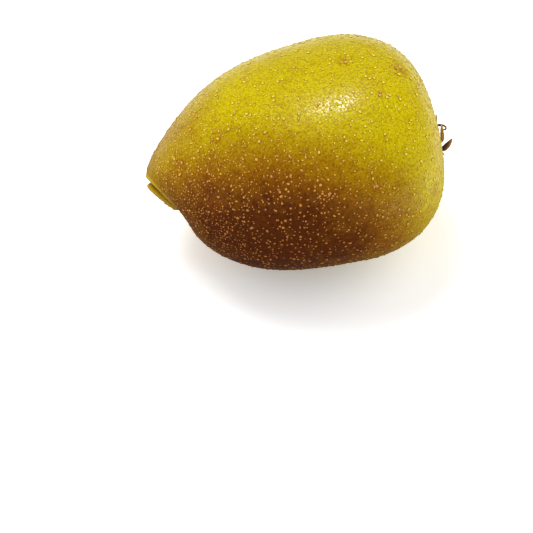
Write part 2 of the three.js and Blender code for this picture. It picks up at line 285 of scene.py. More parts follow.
class KiwiLenticels(bpy.types.PropertyGroup):
    """Size, number and colours of the raised lenticels."""

    # A lenticel's dark edge is painted shade.
    radius: length("Radius", "Radius of a usual lenticel with its dark edge", 0.38 * MM)
    height: length("Height", "Height of a usual lenticel", 0.13 * MM)
    spacing: length("Spacing", "Least distance between two usual lenticels", 1.0 * MM)
    density: number("Density", "Usual lenticels per square metre of skin", 500000)
    fine_radius: length("Fine radius", "Radius of a fine lenticel", 0.27 * MM)
    fine_spacing: length("Fine spacing", "Least distance between two fine lenticels", 0.55 * MM)
    fine_density: number("Fine density", "Fine lenticels per square metre at the beak", 1300000)
    seed: IntProperty(name="Seed", description="Seed of their random places", default=7)
    # The pale and tan tops are partly a painted highlight.
    pale: colour("Pale", "Lenticels on bright skin", paint(250, 222, 78))
    tan: colour("Tan", "Lenticels on bronzed skin", paint(238, 176, 74))
    rust: colour("Rust", "Lenticels in the deepest blush", paint(210, 126, 66))
    cork: colour("Cork", "Corky scars", paint(214, 142, 62))


class KiwiStemEnd(bpy.types.PropertyGroup):
    """Sizes and colours of the corky button and the dried calyx."""

    button_radius: length("Button radius", "Radius of the corky button", 2.6 * MM)
    button_height: length("Button height", "Height of the corky button", 1.3 * MM)
    ring_inner: length("Ring inner", "Inner radius of the calyx ring", 2.95 * MM)
    ring_outer: length("Ring outer", "Outer radius of the calyx ring", 4.3 * MM)
    ring_height: length("Ring height", "Height of the calyx ring", 0.8 * MM)
    sepal_thickness: length("Sepal thickness", "Thickness of a dried sepal", 0.5 * MM)
    cork: colour("Cork", "The broken face of the button", paint(158, 124, 74))
    bark: colour("Bark", "The sides of the button", paint(92, 62, 32))
    dry: colour("Dry", "Dried sepals", paint(190, 144, 58))
    dark: colour("Dark", "The foot of the sepals", paint(84, 46, 18))


class KiwiStudio(bpy.types.PropertyGroup):
    """The white table, its light and the camera."""

    key_power: power("Key power", "Large light overhead", 3.3)
    fill_power: power("Fill power", "Light beside the stem end", 2.7)
    glint_power: power("Glint power", "Small light that only mirrors in the skin", 4.6)
    beak_power: power("Beak power", "Light beside the beak", 0.8)
    ambient: share("Ambient", "Light from all round that reaches the fruit", 0.36)
    floor_glow: share("Floor glow", "How far the lit table glows by itself", 0.56)
    bounce: share("Bounce", "Light that the table adds away from the belly", 0.72)
    bounce_dim: share("Dim bounce", "Light from the table in front of the belly", 0.22)
    distance: length("Distance", "From the camera to the point it looks at", 0.55)
    lens: number("Lens", "Focal length of the camera in millimetres", 155)


def joined_by(operation, reflected=False):
    """A method that adds a Math node. In a reflected form the two values change places."""

    def method(self, other):
        values = {0: other, 1: self} if reflected else {0: self, 1: other}
        return self.maker.node("ShaderNodeMath", {"operation": operation}, values)

    return method


class Wire:
    """A socket of a node tree, on which Python arithmetic adds Math nodes."""

    def __init__(self, maker, socket):
        self.maker = maker
        self.socket = socket

    __add__, __radd__ = joined_by("ADD"), joined_by("ADD", True)
    __sub__, __rsub__ = joined_by("SUBTRACT"), joined_by("SUBTRACT", True)
    __mul__, __rmul__ = joined_by("MULTIPLY"), joined_by("MULTIPLY", True)
    __truediv__, __rtruediv__ = joined_by("DIVIDE"), joined_by("DIVIDE", True)
    larger = joined_by("MAXIMUM")

    def ramp(self, start, end):
        """0 before start and 1 after end, with a smooth rise between; start may be the larger."""
        settings = {"interpolation_type": "SMOOTHSTEP"}
        inputs = {"Value": self, "From Min": start, "From Max": end}
        return self.maker.node("ShaderNodeMapRange", settings, inputs, "Result")


class Maker:
    """Adds nodes to one tree."""

    def __init__(self, tree):
        self.tree = tree

    def node(self, kind, settings=None, inputs=None, output=0):
        """One node: its settings are set first, then its sockets. Returns a wire from an output."""
        made = self.tree.nodes.new(kind)
        for name, value in (settings or {}).items():
            if name == "stops":
                self.set_stops(made.color_ramp, value)
            else:
                setattr(made, name, value)
        for key, value in (inputs or {}).items():
            self.plug(made.inputs[key], value)
        return Wire(self, made.outputs[output]) if made.outputs else made

    def set_stops(self, ramp, stops):
        while len(ramp.elements) < len(stops):
            ramp.elements.new(0.5)
        for element, (position, value) in zip(ramp.elements, stops):
            element.position = position
            element.color = (*value, 1)

    def plug(self, socket, value):
        if isinstance(value, Wire):
            self.tree.links.new(value.socket, socket)
        elif socket.type == "RGBA" and len(value) == 3:
            socket.default_value = (*value, 1)
        else:
            socket.default_value = value

    def mix(self, factor, under, over, blend="MIX"):
        """Two colours mixed by a factor."""
        settings = {"data_type": "RGBA", "blend_type": blend}
        return self.node("ShaderNodeMix", settings, {0: factor, 6: under, 7: over}, 2)

    def vector(self, operation, first, second, output="Vector"):
        inputs = {0: first, 1: second}
        return self.node("ShaderNodeVectorMath", {"operation": operation}, inputs, output)

    def away(self, place, point):
        """How far a place is from a point."""
        return self.vector("DISTANCE", place, point, "Value")

    def part(self, vector, axis):
        """The X, Y or Z of a vector."""
        return self.node("ShaderNodeSeparateXYZ", {}, {"Vector": vector}, axis)

    def place(self):
        """The point of the surface in the object's own frame."""
        return self.node("ShaderNodeTexCoord", output="Object")

    def cloud(self, place, size, detail=2.0, rough=0.5):
        """Noise from 0 to 1 whose lumps are about that size."""
        inputs = {"Vector": place, "Scale": 1 / size, "Detail": detail, "Roughness": rough}
        return self.node("ShaderNodeTexNoise", {}, inputs, 0)

    def bump(self, height, distance, strength=1.0):
        """A normal that follows a height field."""
        inputs = {"Height": height, "Distance": distance, "Strength": strength}
        return self.node("ShaderNodeBump", {}, inputs, "Normal")

    def attribute(self, name):
        """A number that the mesh carries, for a material."""
        return self.node("ShaderNodeAttribute", {"attribute_name": name}, {}, "Fac")

    def carried(self, name, kind="FLOAT"):
        """What the mesh carries under a name, for Geometry Nodes."""
        settings = {"data_type": kind}
        return self.node("GeometryNodeInputNamedAttribute", settings, {"Name": name}, "Attribute")

    def chance(self, low, high, seed):
        """A random number for each point, for Geometry Nodes."""
        return self.node("FunctionNodeRandomValue", {}, {"Min": low, "Max": high, "Seed": seed}, 1)

    def passed(self, kind, geometry, **inputs):
        """Geometry that has gone through a node, for Geometry Nodes."""
        return self.node(f"GeometryNode{kind}", {}, {"Geometry": geometry, **inputs})

    def ray(self, kind):
        """1 for one kind of light ray and 0 for the others, for the stage."""
        return self.node("ShaderNodeLightPath", output=f"Is {kind} Ray")

    def glow(self, strength, tint=(1.0, 1.0, 1.0)):
        """A shader that shines by itself, for the stage."""
        return self.node("ShaderNodeEmission", {}, {"Color": tint, "Strength": strength})


def new_material(name):
    """An empty material and a maker for its tree."""
    material = bpy.data.materials.new(name)
    material.use_nodes = True
    material.node_tree.nodes.clear()
    return material, Maker(material.node_tree)


def finish_material(maker, shader):
    """Ends a material's tree with a shader."""
    maker.node("ShaderNodeOutputMaterial", {}, {"Surface": shader})


def finish_surface(maker, tone, rough, normal, gloss, others=None):
    """Ends it with the shader of a solid surface, with any other sockets by name."""
    inputs = {"Base Color": tone, "Roughness": rough, "Normal": normal, "Specular IOR Level": gloss}
    inputs.update(others or {})
    finish_material(maker, maker.node("ShaderNodeBsdfPrincipled", {}, inputs))


def knob_edge(turn):
    """Radius of the beak's knob, which is a little out of round."""
    return KNOB_RADIUS * (1 - 0.07 * np.cos(turn))


def bell(away, width):
    """1 where away is 0, and smoothly down to 0 within about two widths."""
    return np.exp(-((away / width) ** 2))


class Skin:
    """The grown surface of the fruit by formula. Lengths are in metres."""

    def __init__(self, shape):
        self.shape = shape

    def nose_at(self, radius):
        """Station of the plain egg shape on the beak side of the widest station."""
        widest = self.shape.widest_radius
        rounded = np.minimum((radius**6 + TIP_ROUNDING**6) ** (1 / 6), widest)
        return -self.shape.nose_length * (1 - rounded / widest) ** (1 / NOSE_POWER)

    def stem_at(self, radius):
        """The same on the stem side, before the dimple."""
        bulge = (radius / self.shape.widest_radius) ** (1 / STEM_POWER)
        return self.shape.stem_length * np.sqrt(np.maximum(0, 1 - bulge))

    def dimple(self, distance):
        depth = self.shape.dimple_depth
        return depth * np.maximum(0, 1 - (distance / DIMPLE_RADIUS) ** 2) ** 2

    def seat_at(self, distance):
        """Floor of the dimple at a distance from the middle of the scar."""
        return float(self.stem_at(distance) - self.dimple(distance))

    def beak_relief(self, radius, angle):
        """Height of rim, groove and knob above the plain tip of the beak."""
        turn = angle - BROW_ANGLE
        edge = knob_edge(turn)
        knob = self.shape.knob_height * np.sqrt(np.maximum(0, 1 - (radius / edge) ** 3.5))
        cleft = 0.6 + 0.4 * np.cos(5 * turn - CLEFT_TURN)
        width = GROOVE_WIDTH * (1 + 0.3 * np.cos(turn - WIDE_CLEFT_TURN))
        groove = bell(radius - edge - GROOVE_INSET, width)
        rim = bell(radius - RIM_RADIUS, RIM_WIDTH)
        return self.shape.rim_height * rim - self.shape.groove_depth * cleft * groove + knob

    def set_back(self, radius, lead):
        """How far the slanting end of the beak is set back towards the stem."""
        ahead = SLANT_SET_BACK - SLANT * lead
        eased = (ahead + np.sqrt(ahead**2 + SLANT_EASE**2)) / 2
        fade = 1 - (radius / self.shape.widest_radius) ** SLANT_FADE_POWER
        return fade * eased / (1 + (radius / SLANT_REACH) ** 3)

    def point(self, station, radius, angle):
        """Points of the skin on the fruit's own axis, from places on its outline."""
        shape = self.shape
        uneven = sum(h * np.sin(n * angle + k * station + p) for h, n, k, p in WAVES)
        swollen = radius + uneven * radius / shape.widest_radius
        y = swollen * np.cos(angle)
        z = swollen * np.sin(angle) * shape.flatness
        lead = y * math.cos(BROW_ANGLE) + z * math.sin(BROW_ANGLE)
        beak_x = station + self.set_back(radius, lead) - self.beak_relief(radius, angle)
        beak_y = y - shape.side_bend * (station / shape.nose_length) ** 2
        lift = SHOULDER_LIFT * (station / shape.stem_length) ** 2
        stem_y = y + lift * math.cos(BROW_ANGLE)
        stem_z = z + lift * math.sin(BROW_ANGLE)
        stem_x = station - self.dimple(np.hypot(stem_y - SCAR_Y, stem_z - SCAR_Z))
        beak = np.stack([beak_x, beak_y, z], -1)
        stem = np.stack([stem_x, stem_y, stem_z], -1)
        return np.where((station < 0)[..., None], beak, stem)

    def lie_down(self, points):
        """Turns points from the fruit's own axis to where it lies on the table."""
        tilt = self.shape.rest_tilt
        x, y, z = np.moveaxis(np.asarray(points, float), -1, 0)
        laid_x = x * math.cos(tilt) - z * math.sin(tilt) + WIDEST_AT
        laid_z = x * math.sin(tilt) + z * math.cos(tilt) + self.shape.axis_height
        return np.stack([laid_x, y, laid_z], -1)

    def outline(self):
        """Stations and radii of the rings, close together across the beak."""
        widest = self.shape.widest_radius
        beak = np.arange(BEAK_STEP, FLANK_START, BEAK_STEP)
        turn = np.linspace(0, math.pi / 2, 500)
        nose = FLANK_START + (widest - FLANK_START) * np.sin(turn)
        stem = widest * np.cos(turn)[1:]
        stations = np.concatenate([self.nose_at(nose), self.stem_at(stem)])
        radii = np.concatenate([nose, stem])
        steps = np.hypot(np.diff(stations), np.diff(radii))
        run = np.concatenate([[0], np.cumsum(steps)])
        even = np.linspace(0, run[-1], FLANK_RINGS + 1)[:-1]
        flank = np.interp(even, run, stations), np.interp(even, run, radii)
        return np.concatenate([self.nose_at(beak), flank[0]]), np.concatenate([beak, flank[1]])

    def rings(self):
        """The rings of points where the fruit lies, with its belly pressed flat."""
        stations, radii = self.outline()
        points = self.point(stations[:, None], radii[:, None], ANGLES[None, :])
        return self.pressed(self.lie_down(points))

    def poles(self):
        """The tip of the beak and the middle of the stem end."""
        ends = np.array([float(self.nose_at(0.0)), float(self.stem_at(0.0))])
        points = self.point(ends, np.zeros(2), np.zeros(2))
        return self.pressed(self.lie_down(points))

    def pressed(self, points):
        """The points, with none of them below the table."""
        points[..., 2] = np.maximum(points[..., 2], 0)
        return points


def tube_mesh(name, rings, first, last):
    """A closed mesh from rings of points and a point at both ends, with its faces outwards."""
    rings = np.asarray(rings)
    count, around = rings.shape[:2]
    vertices = [*rings.reshape(-1, 3), np.asarray(first), np.asarray(last)]
    start, end = count * around, count * around + 1
    faces = []
    for j in range(around):
        k = (j + 1) % around
        faces.append((start, k, j))
        faces.append((end, (count - 1) * around + j, (count - 1) * around + k))
        for i in range(count - 1):
            low, high = i * around, (i + 1) * around
            faces.append((low + j, low + k, high + k, high + j))
    mesh = bpy.data.meshes.new(name)
    mesh.from_pydata([tuple(map(float, v)) for v in vertices], [], faces)
    point_outwards(mesh)
    mesh.shade_smooth()
    return mesh


def point_outwards(mesh):
    """Recalculates the normals of closed shells so that they point outwards."""
    shell = bmesh.new()
    shell.from_mesh(mesh)
    bmesh.ops.recalc_face_normals(shell, faces=shell.faces)
    shell.to_mesh(mesh)
    shell.free()


def add_numbers(mesh, name, values):
    """Stores one number for each vertex."""
    layer = mesh.attributes.new(name, "FLOAT", "POINT")
    layer.data.foreach_set("value", np.asarray(values, np.float32).ravel())


def vertex_places(mesh):
    places = np.zeros(len(mesh.vertices) * 3, np.float32)
    mesh.vertices.foreach_get("co", places)
    return places.reshape(-1, 3).astype(float)


def new_object(name, mesh):
    made = bpy.data.objects.new(name, mesh)
    bpy.context.scene.collection.objects.link(made)
    return made


def settle(piece, node):
    """Attaches a finished piece to the root body and hides the solid that it stands for."""
    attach(piece, "root")
    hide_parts(node)


def new_tree(name, sockets):
    """A Geometry Nodes tree that takes and gives geometry, with named inputs."""
    tree = bpy.data.node_groups.new(name, "GeometryNodeTree")
    for in_out in ("INPUT", "OUTPUT"):
        tree.interface.new_socket("Geometry", in_out=in_out, socket_type="NodeSocketGeometry")
    for socket, kind in sockets.items():
        tree.interface.new_socket(socket, in_out="INPUT", socket_type=kind)
    maker = Maker(tree)
    start = tree.nodes.new("NodeGroupInput")
    wires = {socket.name: Wire(maker, socket) for socket in start.outputs if socket.name}
    return tree, maker, wires


def end_tree(maker, geometry):
    end = maker.tree.nodes.new("NodeGroupOutput")
    maker.plug(end.inputs[0], geometry)


def grown(base, tree, values):
    """The plain mesh that a tree makes of an object, with its inputs set by identifier."""
    modifier = base.modifiers.new(tree.name, "NODES")
    modifier.node_group = tree
    for item in tree.interface.items_tree:
        if item.in_out == "INPUT" and item.name in values:
            modifier[item.identifier] = values[item.name]
    graph = bpy.context.evaluated_depsgraph_get()
    mesh = bpy.data.meshes.new_from_object(base.evaluated_get(graph), depsgraph=graph)
    base.modifiers.remove(modifier)
    return mesh


def blush_and_painted_shade(maker, place):
    """How deep the bronzing and painted shade are at a place: about 0 on the bright side and 1 at
    its deepest.
    """
    low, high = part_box("fruit_body")
    centred = maker.vector("SUBTRACT", place, (low + high) / 2)
    scaled = maker.vector("DIVIDE", centred, (high - low) / 2)
    layers = []
    for towards, start, full, depth in BLUSHES_AND_SHADE:
        side = maker.vector("DOT_PRODUCT", scaled, towards, "Value")
        layers.append(side.ramp(start, full) * depth)
    # The front and underside layers are partly painted shade.
    deep = layers[0].larger(layers[1]).larger(layers[2])
    drift = maker.cloud(place, 9 * MM, 2.0) - 0.5
    mottle = maker.cloud(place, 2.4 * MM, 3.0, 0.65) - 0.5
    return deep + drift * 0.24 + mottle * 0.36


def skin_tone(maker, finish, place, blush_and_shade):
    """The skin's own colour, with painted shade on its front and underside."""
    # The darker stops also stand for painted shade on the front and underside.
    stops = (
        (0.00, finish.sunny),
        (0.30, finish.sunny),
        (0.47, finish.olive),
        (0.62, finish.bronze),
        (0.76, finish.russet),
        (0.93, finish.umber),
    )
    base = maker.node("ShaderNodeValToRGB", {"stops": stops}, {"Fac": (blush_and_shade + 0.4) / 1.3})
    speck = maker.cloud(place, 0.50 * MM, 2.0, 0.6)
    dark = maker.mix(speck.ramp(0.42, 0.64) * 0.52, base, paint(172, 138, 90), "MULTIPLY")
    light = maker.cloud(place, 0.9 * MM, 2.0, 0.6)
    return maker.mix(light.ramp(0.50, 0.66) * 0.30, dark, (0.75, 0.72, 0.5), "OVERLAY")


def stained(maker, tone, finish, place, stains):
    """Russet stains, which break up into a net at their edges."""
    net = maker.cloud(place, 1.1 * MM, 3.0, 0.65).ramp(0.40, 0.62)
    for centre, reach, strength in stains:
        near = maker.away(place, centre).ramp(reach, reach * 0.2)
        tone = maker.mix(near * net * strength, tone, finish.stain)
    return tone


def skin_material(finish, stains):
    """Thin satin skin, bright yellow-olive on one side, bronzed and darkened by painted shade on
    the other.
    """
    material, maker = new_material("skin")
    place = maker.place()
    blush_and_shade = blush_and_painted_shade(maker, place)
    tone = stained(maker, skin_tone(maker, finish, place, blush_and_shade), finish, place, stains)
    # Painted shade in the beak's groove.
    tone = maker.mix(maker.attribute("crevice"), tone, paint(70, 28, 10))
    # Painted highlight on the rim's crest, and a lighter knob.
    tone = maker.mix(maker.attribute("edge"), tone, paint(222, 184, 40))
    fine = maker.cloud(place, 0.30 * MM, 2.0, 0.6)
    coarse = maker.cloud(place, 1.3 * MM, 2.0)
    normal = maker.bump(fine * 0.55 + coarse, 0.07 * MM)
    sparkle = maker.cloud(place, 0.45 * MM, 2.0).ramp(0.48, 0.64)
    others = {
        "Specular Tint": (1.0, 0.86, 0.20),
        "Coat Weight": sparkle * 2.5 * finish.wax,
        "Coat Roughness": 0.24,
    }
    finish_surface(maker, tone, 0.44 + fine * 0.16, normal, finish.gloss, others)
    return material


def lenticel_material(finish, name, top_of):
    """Corky dots: pale on bright skin, tan on bronzed skin, with painted shade at their sunken
    edge.
    """
    material, maker = new_material(name)
    place = maker.place()
    blush_and_shade = blush_and_painted_shade(maker, place)
    skin = skin_tone(maker, finish, place, blush_and_shade)
    # The tops are the cork's own colour, made brighter as a painted highlight.
    top = top_of(maker, blush_and_shade, maker.attribute("tint"))
    # Painted shade round the edge of each dot.
    edge = maker.mix(0.82, skin, paint(96, 52, 2))
    tone = maker.mix(maker.attribute("rise").ramp(0.28, 0.80), edge, top)
    normal = maker.bump(maker.cloud(place, 0.14 * MM), 0.02 * MM, 0.7)
    finish_surface(maker, tone, rough=0.72, normal=normal, gloss=0.3)
    return material


def dome_mesh():
    """A lenticel of radius and height 1: a low skirt for painted shade round a raised middle,
    closed below.
    """
    profile = ((1.0, -0.25), (0.90, 0.08), (0.64, 0.62), (0.36, 0.95))
    angles = [2 * math.pi * j / 6 for j in range(6)]
    rings = [[(r * math.cos(a), r * math.sin(a), level) for a in angles] for r, level in profile]
    mesh = tube_mesh("dome", rings, (0, 0, -0.25), (0, 0, 1.03))
    add_numbers(mesh, "rise", np.clip(vertex_places(mesh)[:, 2], 0, 1))
    return mesh


def end_with_domes(maker, wires, points, rotation, size, stretch, height):
    """Ends a tree: domes on points, turned at random, made real and given their material."""
    stored = {"data_type": "FLOAT", "domain": "POINT"}
    tinted = {"Geometry": points, "Name": "tint", "Value": maker.chance(0.0, 1.0, 41)}
    points = maker.node("GeometryNodeStoreNamedAttribute", stored, tinted)
    turn = maker.chance(0.0, 2 * math.pi, 17)
    spin = maker.node("FunctionNodeAxisAngleToRotation", {}, {"Axis": (0, 0, 1), "Angle": turn})
    turning = {"Rotation": rotation, "Rotate By": spin}
    turned = maker.node("FunctionNodeRotateRotation", {"rotation_space": "LOCAL"}, turning)
    scales = {"X": size * stretch, "Y": size / stretch, "Z": height}
    scale = maker.node("ShaderNodeCombineXYZ", {}, scales)
    dome = maker.node("GeometryNodeObjectInfo", {}, {"Object": wires["Dome"]}, "Geometry")
    placed = {"Points": points, "Instance": dome, "Rotation": turned, "Scale": scale}
    instances = maker.node("GeometryNodeInstanceOnPoints", {}, placed)
    smooth = maker.passed("SetShadeSmooth", maker.passed("RealizeInstances", instances))
    end_tree(maker, maker.passed("SetMaterial", smooth, Material=wires["Material"]))


def lenticel_tree():
    """Spreads lenticels of all sizes over a skin, as densely as one of its attributes says."""
    sockets = {
        "Dome": "NodeSocketObject",
        "Material": "NodeSocketMaterial",
        "Radius": "NodeSocketFloat",
        "Height": "NodeSocketFloat",
        "Spacing": "NodeSocketFloat",
        "Density": "NodeSocketFloat",
        "Spread by": "NodeSocketString",
        "Seed": "NodeSocketInt",
    }
    tree, maker, wires = new_tree("Spread lenticels", sockets)
    spread = {
        "Mesh": wires["Geometry"],
        "Distance Min": wires["Spacing"],
        "Density Max": wires["Density"],
        "Density Factor": maker.carried(wires["Spread by"]),
        "Seed": wires["Seed"],
    }
    settings = {"distribute_method": "POISSON"}
    points = maker.node("GeometryNodeDistributePointsOnFaces", settings, spread, "Points")
    rotation = Wire(maker, points.socket.node.outputs["Rotation"])
    luck = maker.chance(0.0, 1.0, 5)
    growth = 0.68 + luck * luck * luck * 0.85
    stretch = maker.chance(1.0, 1.30, 11)
    size = wires["Radius"] * growth
    end_with_domes(maker, wires, points, rotation, size, stretch, wires["Height"] * growth)
    return tree


def scar_tree():
    """Sets a lump on each given point, by the normal and size that the point carries."""
    sockets = {"Dome": "NodeSocketObject", "Material": "NodeSocketMaterial"}
    tree, maker, wires = new_tree("Corky scars", sockets)
    normal = maker.carried("away", "FLOAT_VECTOR")
    rotation = maker.node("FunctionNodeAlignRotationToVector", {"axis": "Z"}, {"Vector": normal})
    points = maker.node("GeometryNodeMeshToPoints", {}, {"Mesh": wires["Geometry"]})
    size = maker.carried("size")
    stretch = maker.chance(1.0, 1.5, 23)
    end_with_domes(maker, wires, points, rotation, size, stretch, size * 0.42)
    return tree


def growth_tree():
    """Gives a skin soft unevenness, but not at its beak, and sinks it, but not at its flat spot."""
    tree, maker, wires = new_tree("Fine growth", {"Height": "NodeSocketFloat"})
    place = maker.node("GeometryNodeInputPosition")
    off_table = maker.part(place, "Z").ramp(0.0, 2.5 * MM)
    free = off_table * maker.carried("free")
    coarse = maker.cloud(place, 7 * MM, 2.0) - 0.5
    fine = maker.cloud(place, 1.6 * MM, 2.0) - 0.5
    rise = ((coarse * 1.6 + fine * 0.5) * free - off_table * SUNK) * wires["Height"]
    pushed = {"Vector": maker.node("GeometryNodeInputNormal"), "Scale": rise}
    offset = maker.node("ShaderNodeVectorMath", {"operation": "SCALE"}, pushed)
    end_tree(maker, maker.passed("SetPosition", wires["Geometry"], Offset=offset))
    return tree


def domed_piece(name, ground, tree, values):
    """A finished piece of domes, which a tree sets on a mesh."""
    dome = new_object("dome", dome_mesh())
    base = new_object("base", ground)
    piece = new_object(name, grown(base, tree, values | {"Dome": dome}))
    for helper in (base, dome):
        bpy.data.objects.remove(helper)
    settle(piece, "fruit_body")


def view_axes():
    """The camera's place and its right, up and backward directions."""
    back = Vector((
        math.sin(VIEW_AZIMUTH) * math.cos(VIEW_ELEVATION),
        -math.cos(VIEW_AZIMUTH) * math.cos(VIEW_ELEVATION),
        math.sin(VIEW_ELEVATION),
    ))
    right = Vector((math.cos(VIEW_AZIMUTH), math.sin(VIEW_AZIMUTH), 0))
    eye = AIM + back * bpy.context.scene.kiwi_studio.distance
    return eye, right, back.cross(right), back


def seen_at(target, pixel):
    """The point of the skin, and its normal, behind a pixel of the photograph."""
    eye, right, up, back = view_axes()
    reach = bpy.context.scene.kiwi_studio.lens * MM / SENSOR * PHOTO_PIXELS
    middle = PHOTO_PIXELS / 2
    ray = right * ((pixel[0] - middle) / reach) + up * ((middle - pixel[1]) / reach) - back
    place, normal, _, _ = target.ray_cast(eye, ray.normalized())
    if place is None:
        raise RuntimeError(f"no skin behind pixel {pixel}")
    return place, normal


def skin_for_rays():
    """The finished skin as a tree for casting rays."""
    skin = bpy.data.objects["skin"]
    corners = [v.co for v in skin.data.vertices]
    return BVHTree.FromPolygons(corners, [tuple(p.vertices) for p in skin.data.polygons])


def crowding_at(places):
    """Where usual and where fine lenticels stand, from 0 to 1, by place on the lying fruit."""
    low, high = (np.array(corner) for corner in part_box("fruit_body"))
    scaled = (places - (low + high) / 2) / ((high - low) / 2)
    side = np.clip(scaled @ np.array(FRONT), 0, 1)
    beakward = np.clip((-scaled[:, 0] - 0.10) / 0.70, 0, 1)
    patchy = PATCHINESS * np.array([noise.noise(Vector(p) / PATCH_SIZE) for p in places])
    usual = np.clip(0.88 + 0.12 * side - 0.35 * beakward**2 + patchy, 0, 1)
    fine = np.clip(beakward**1.3 + 0.10 + 0.10 * side + patchy, 0.04, 1)
    bare = (places[:, 2] < BARE_BELOW) | (scaled[:, 0] < BARE_TIP)
    return np.where(bare, 0, usual), np.where(bare, 0, fine)


def beak_masks(skin):
    """For each vertex: painted groove shade, painted crest highlight with a lighter knob, how free
    of the beak.
    """
    stations, radii = skin.outline()
    turn = ANGLES[None, :] - BROW_ANGLE
    edge = knob_edge(turn)
    ring = radii[:, None]
    groove = bell(ring - edge - GROOVE_SHADE_INSET, GROOVE_SHADE_WIDTH)
    cleft = 0.12 + 0.88 * np.clip(0.5 + 0.5 * np.cos(5 * turn - CLEFT_TURN), 0, 1)
    crest = bell(ring - RIM_RADIUS - CREST_OFFSET, CREST_WIDTH)
    on_beak = (stations < 0)[:, None]
    poles = np.zeros(2)
    # Painted shade in the groove, strongest in its clefts.
    deep = np.where(on_beak, groove * cleft, 0)
    # Painted highlight along the rim's crest, and a lighter knob.
    knob = np.clip((edge - ring) / KNOB_SHOULDER, 0, 1) * 0.6
    bright = np.where(on_beak, np.maximum(crest * 0.75, knob), 0)
    off_beak = np.clip((ring - FREE_FROM) / FREE_WITHIN, 0, 1) * np.ones_like(turn)
    free = np.where(on_beak, off_beak, 1)
    return [np.concatenate([mask.ravel(), poles]) for mask in (deep, bright, free)]


class KIWI_OT_skin(bpy.types.Operator):
    """Grow the skin of the fruit, with its beak and dimple"""

    bl_idname = "kiwi.skin"
    bl_label = "Skin"

    def execute(self, context):
        scene = context.scene
        skin = Skin(scene.kiwi_shape)
        first, last = skin.poles()
        mesh = tube_mesh("skin", skin.rings(), first, last)
        places = vertex_places(mesh)
        names = ("usual", "fine", "crevice", "edge", "free")
        masks = (*crowding_at(places), *beak_masks(skin))
        for name, values in zip(names, masks):
            add_numbers(mesh, name, values)
        piece = new_object("skin", mesh)
        piece.data = grown(piece, growth_tree(), {"Height": scene.kiwi_shape.relief})
        piece.data.shade_smooth()
        target = skin_for_rays()
        stains = [(seen_at(target, pixel)[0], *stain) for pixel, *stain in STAINS]
        piece.data.materials.append(skin_material(scene.kiwi_finish, stains))
        settle(piece, "fruit_body")
        return {"FINISHED"}


class KIWI_OT_lenticels(bpy.types.Operator):
    """Spread the raised lenticels over the skin"""

    bl_idname = "kiwi.lenticels"
    bl_label = "Lenticels"

    def execute(self, context):
        scene = context.scene
        settings = scene.kiwi_lenticels

        def top_of(maker, blush_and_shade, tint):
            top = maker.mix(blush_and_shade.ramp(0.0, 0.55), settings.pale, settings.tan)
            top = maker.mix(blush_and_shade.ramp(0.50, 0.95), top, settings.rust)
            return maker.mix(tint.ramp(0.72, 1.0) * 0.6, top, settings.cork)

        material = lenticel_material(scene.kiwi_finish, "lenticels", top_of)
        usual = (settings.radius, settings.height, settings.spacing, settings.density)
        fine = (settings.fine_radius, settings.height * 0.7, settings.fine_spacing,
                settings.fine_density)
        self.spread("lenticels", "usual", material, settings.seed, *usual)
        self.spread("fine_lenticels", "fine", material, settings.seed + 1, *fine)
        return {"FINISHED"}

    def spread(self, name, spread_by, material, seed, radius, height, spacing, density):
        """One piece: lenticels of one kind, spread by the skin's attribute of that name."""
        values = {
            "Material": material,
            "Radius": radius,
            "Height": height,
            "Spacing": spacing,
            "Density": density,
            "Spread by": spread_by,
            "Seed": seed,
        }
        domed_piece(name, bpy.data.objects["skin"].data.copy(), lenticel_tree(), values)


class KIWI_OT_scars(bpy.types.Operator):
    """Set the larger corky scars where the photograph shows them"""

    bl_idname = "kiwi.scars"
    bl_label = "Corky scars"

    def execute(self, context):
        scene = context.scene
        settings = scene.kiwi_lenticels
        places, normals, sizes = self.lumps()
        mesh = bpy.data.meshes.new("scar_points")
        mesh.from_pydata(places, [], [])
        away = mesh.attributes.new("away", "FLOAT_VECTOR", "POINT")
        away.data.foreach_set("vector", np.asarray(normals, np.float32).ravel())
        add_numbers(mesh, "size", sizes)

        def top_of(maker, blush_and_shade, tint):
            return maker.mix(tint * 0.55, settings.cork, settings.tan)

        material = lenticel_material(scene.kiwi_finish, "corky_scars", top_of)
        domed_piece("corky_scars", mesh, scar_tree(), {"Material": material})
        return {"FINISHED"}

    def lumps(self):
        """Places, normals and sizes of all lumps, drawn at random round each scar's middle."""
        random = np.random.default_rng(11)
        target = skin_for_rays()
        places, normals, sizes = [], [], []
        for pixel, count, spread, radius in SCARS:
            middle, _ = seen_at(target, pixel)
            for _ in range(count):
                near = middle + Vector(random.normal(0, spread / 2, 3))
                place, normal, _, _ = target.find_nearest(near)
                places.append(tuple(place))
                normals.append(tuple(normal))
                sizes.append(radius * random.uniform(0.75, 1.35))
        return places, normals, sizes


def ragged(place, size, height):
    """Soft noise at a place, for wrinkles in mesh code."""
    return height * noise.noise(Vector(place) / size)


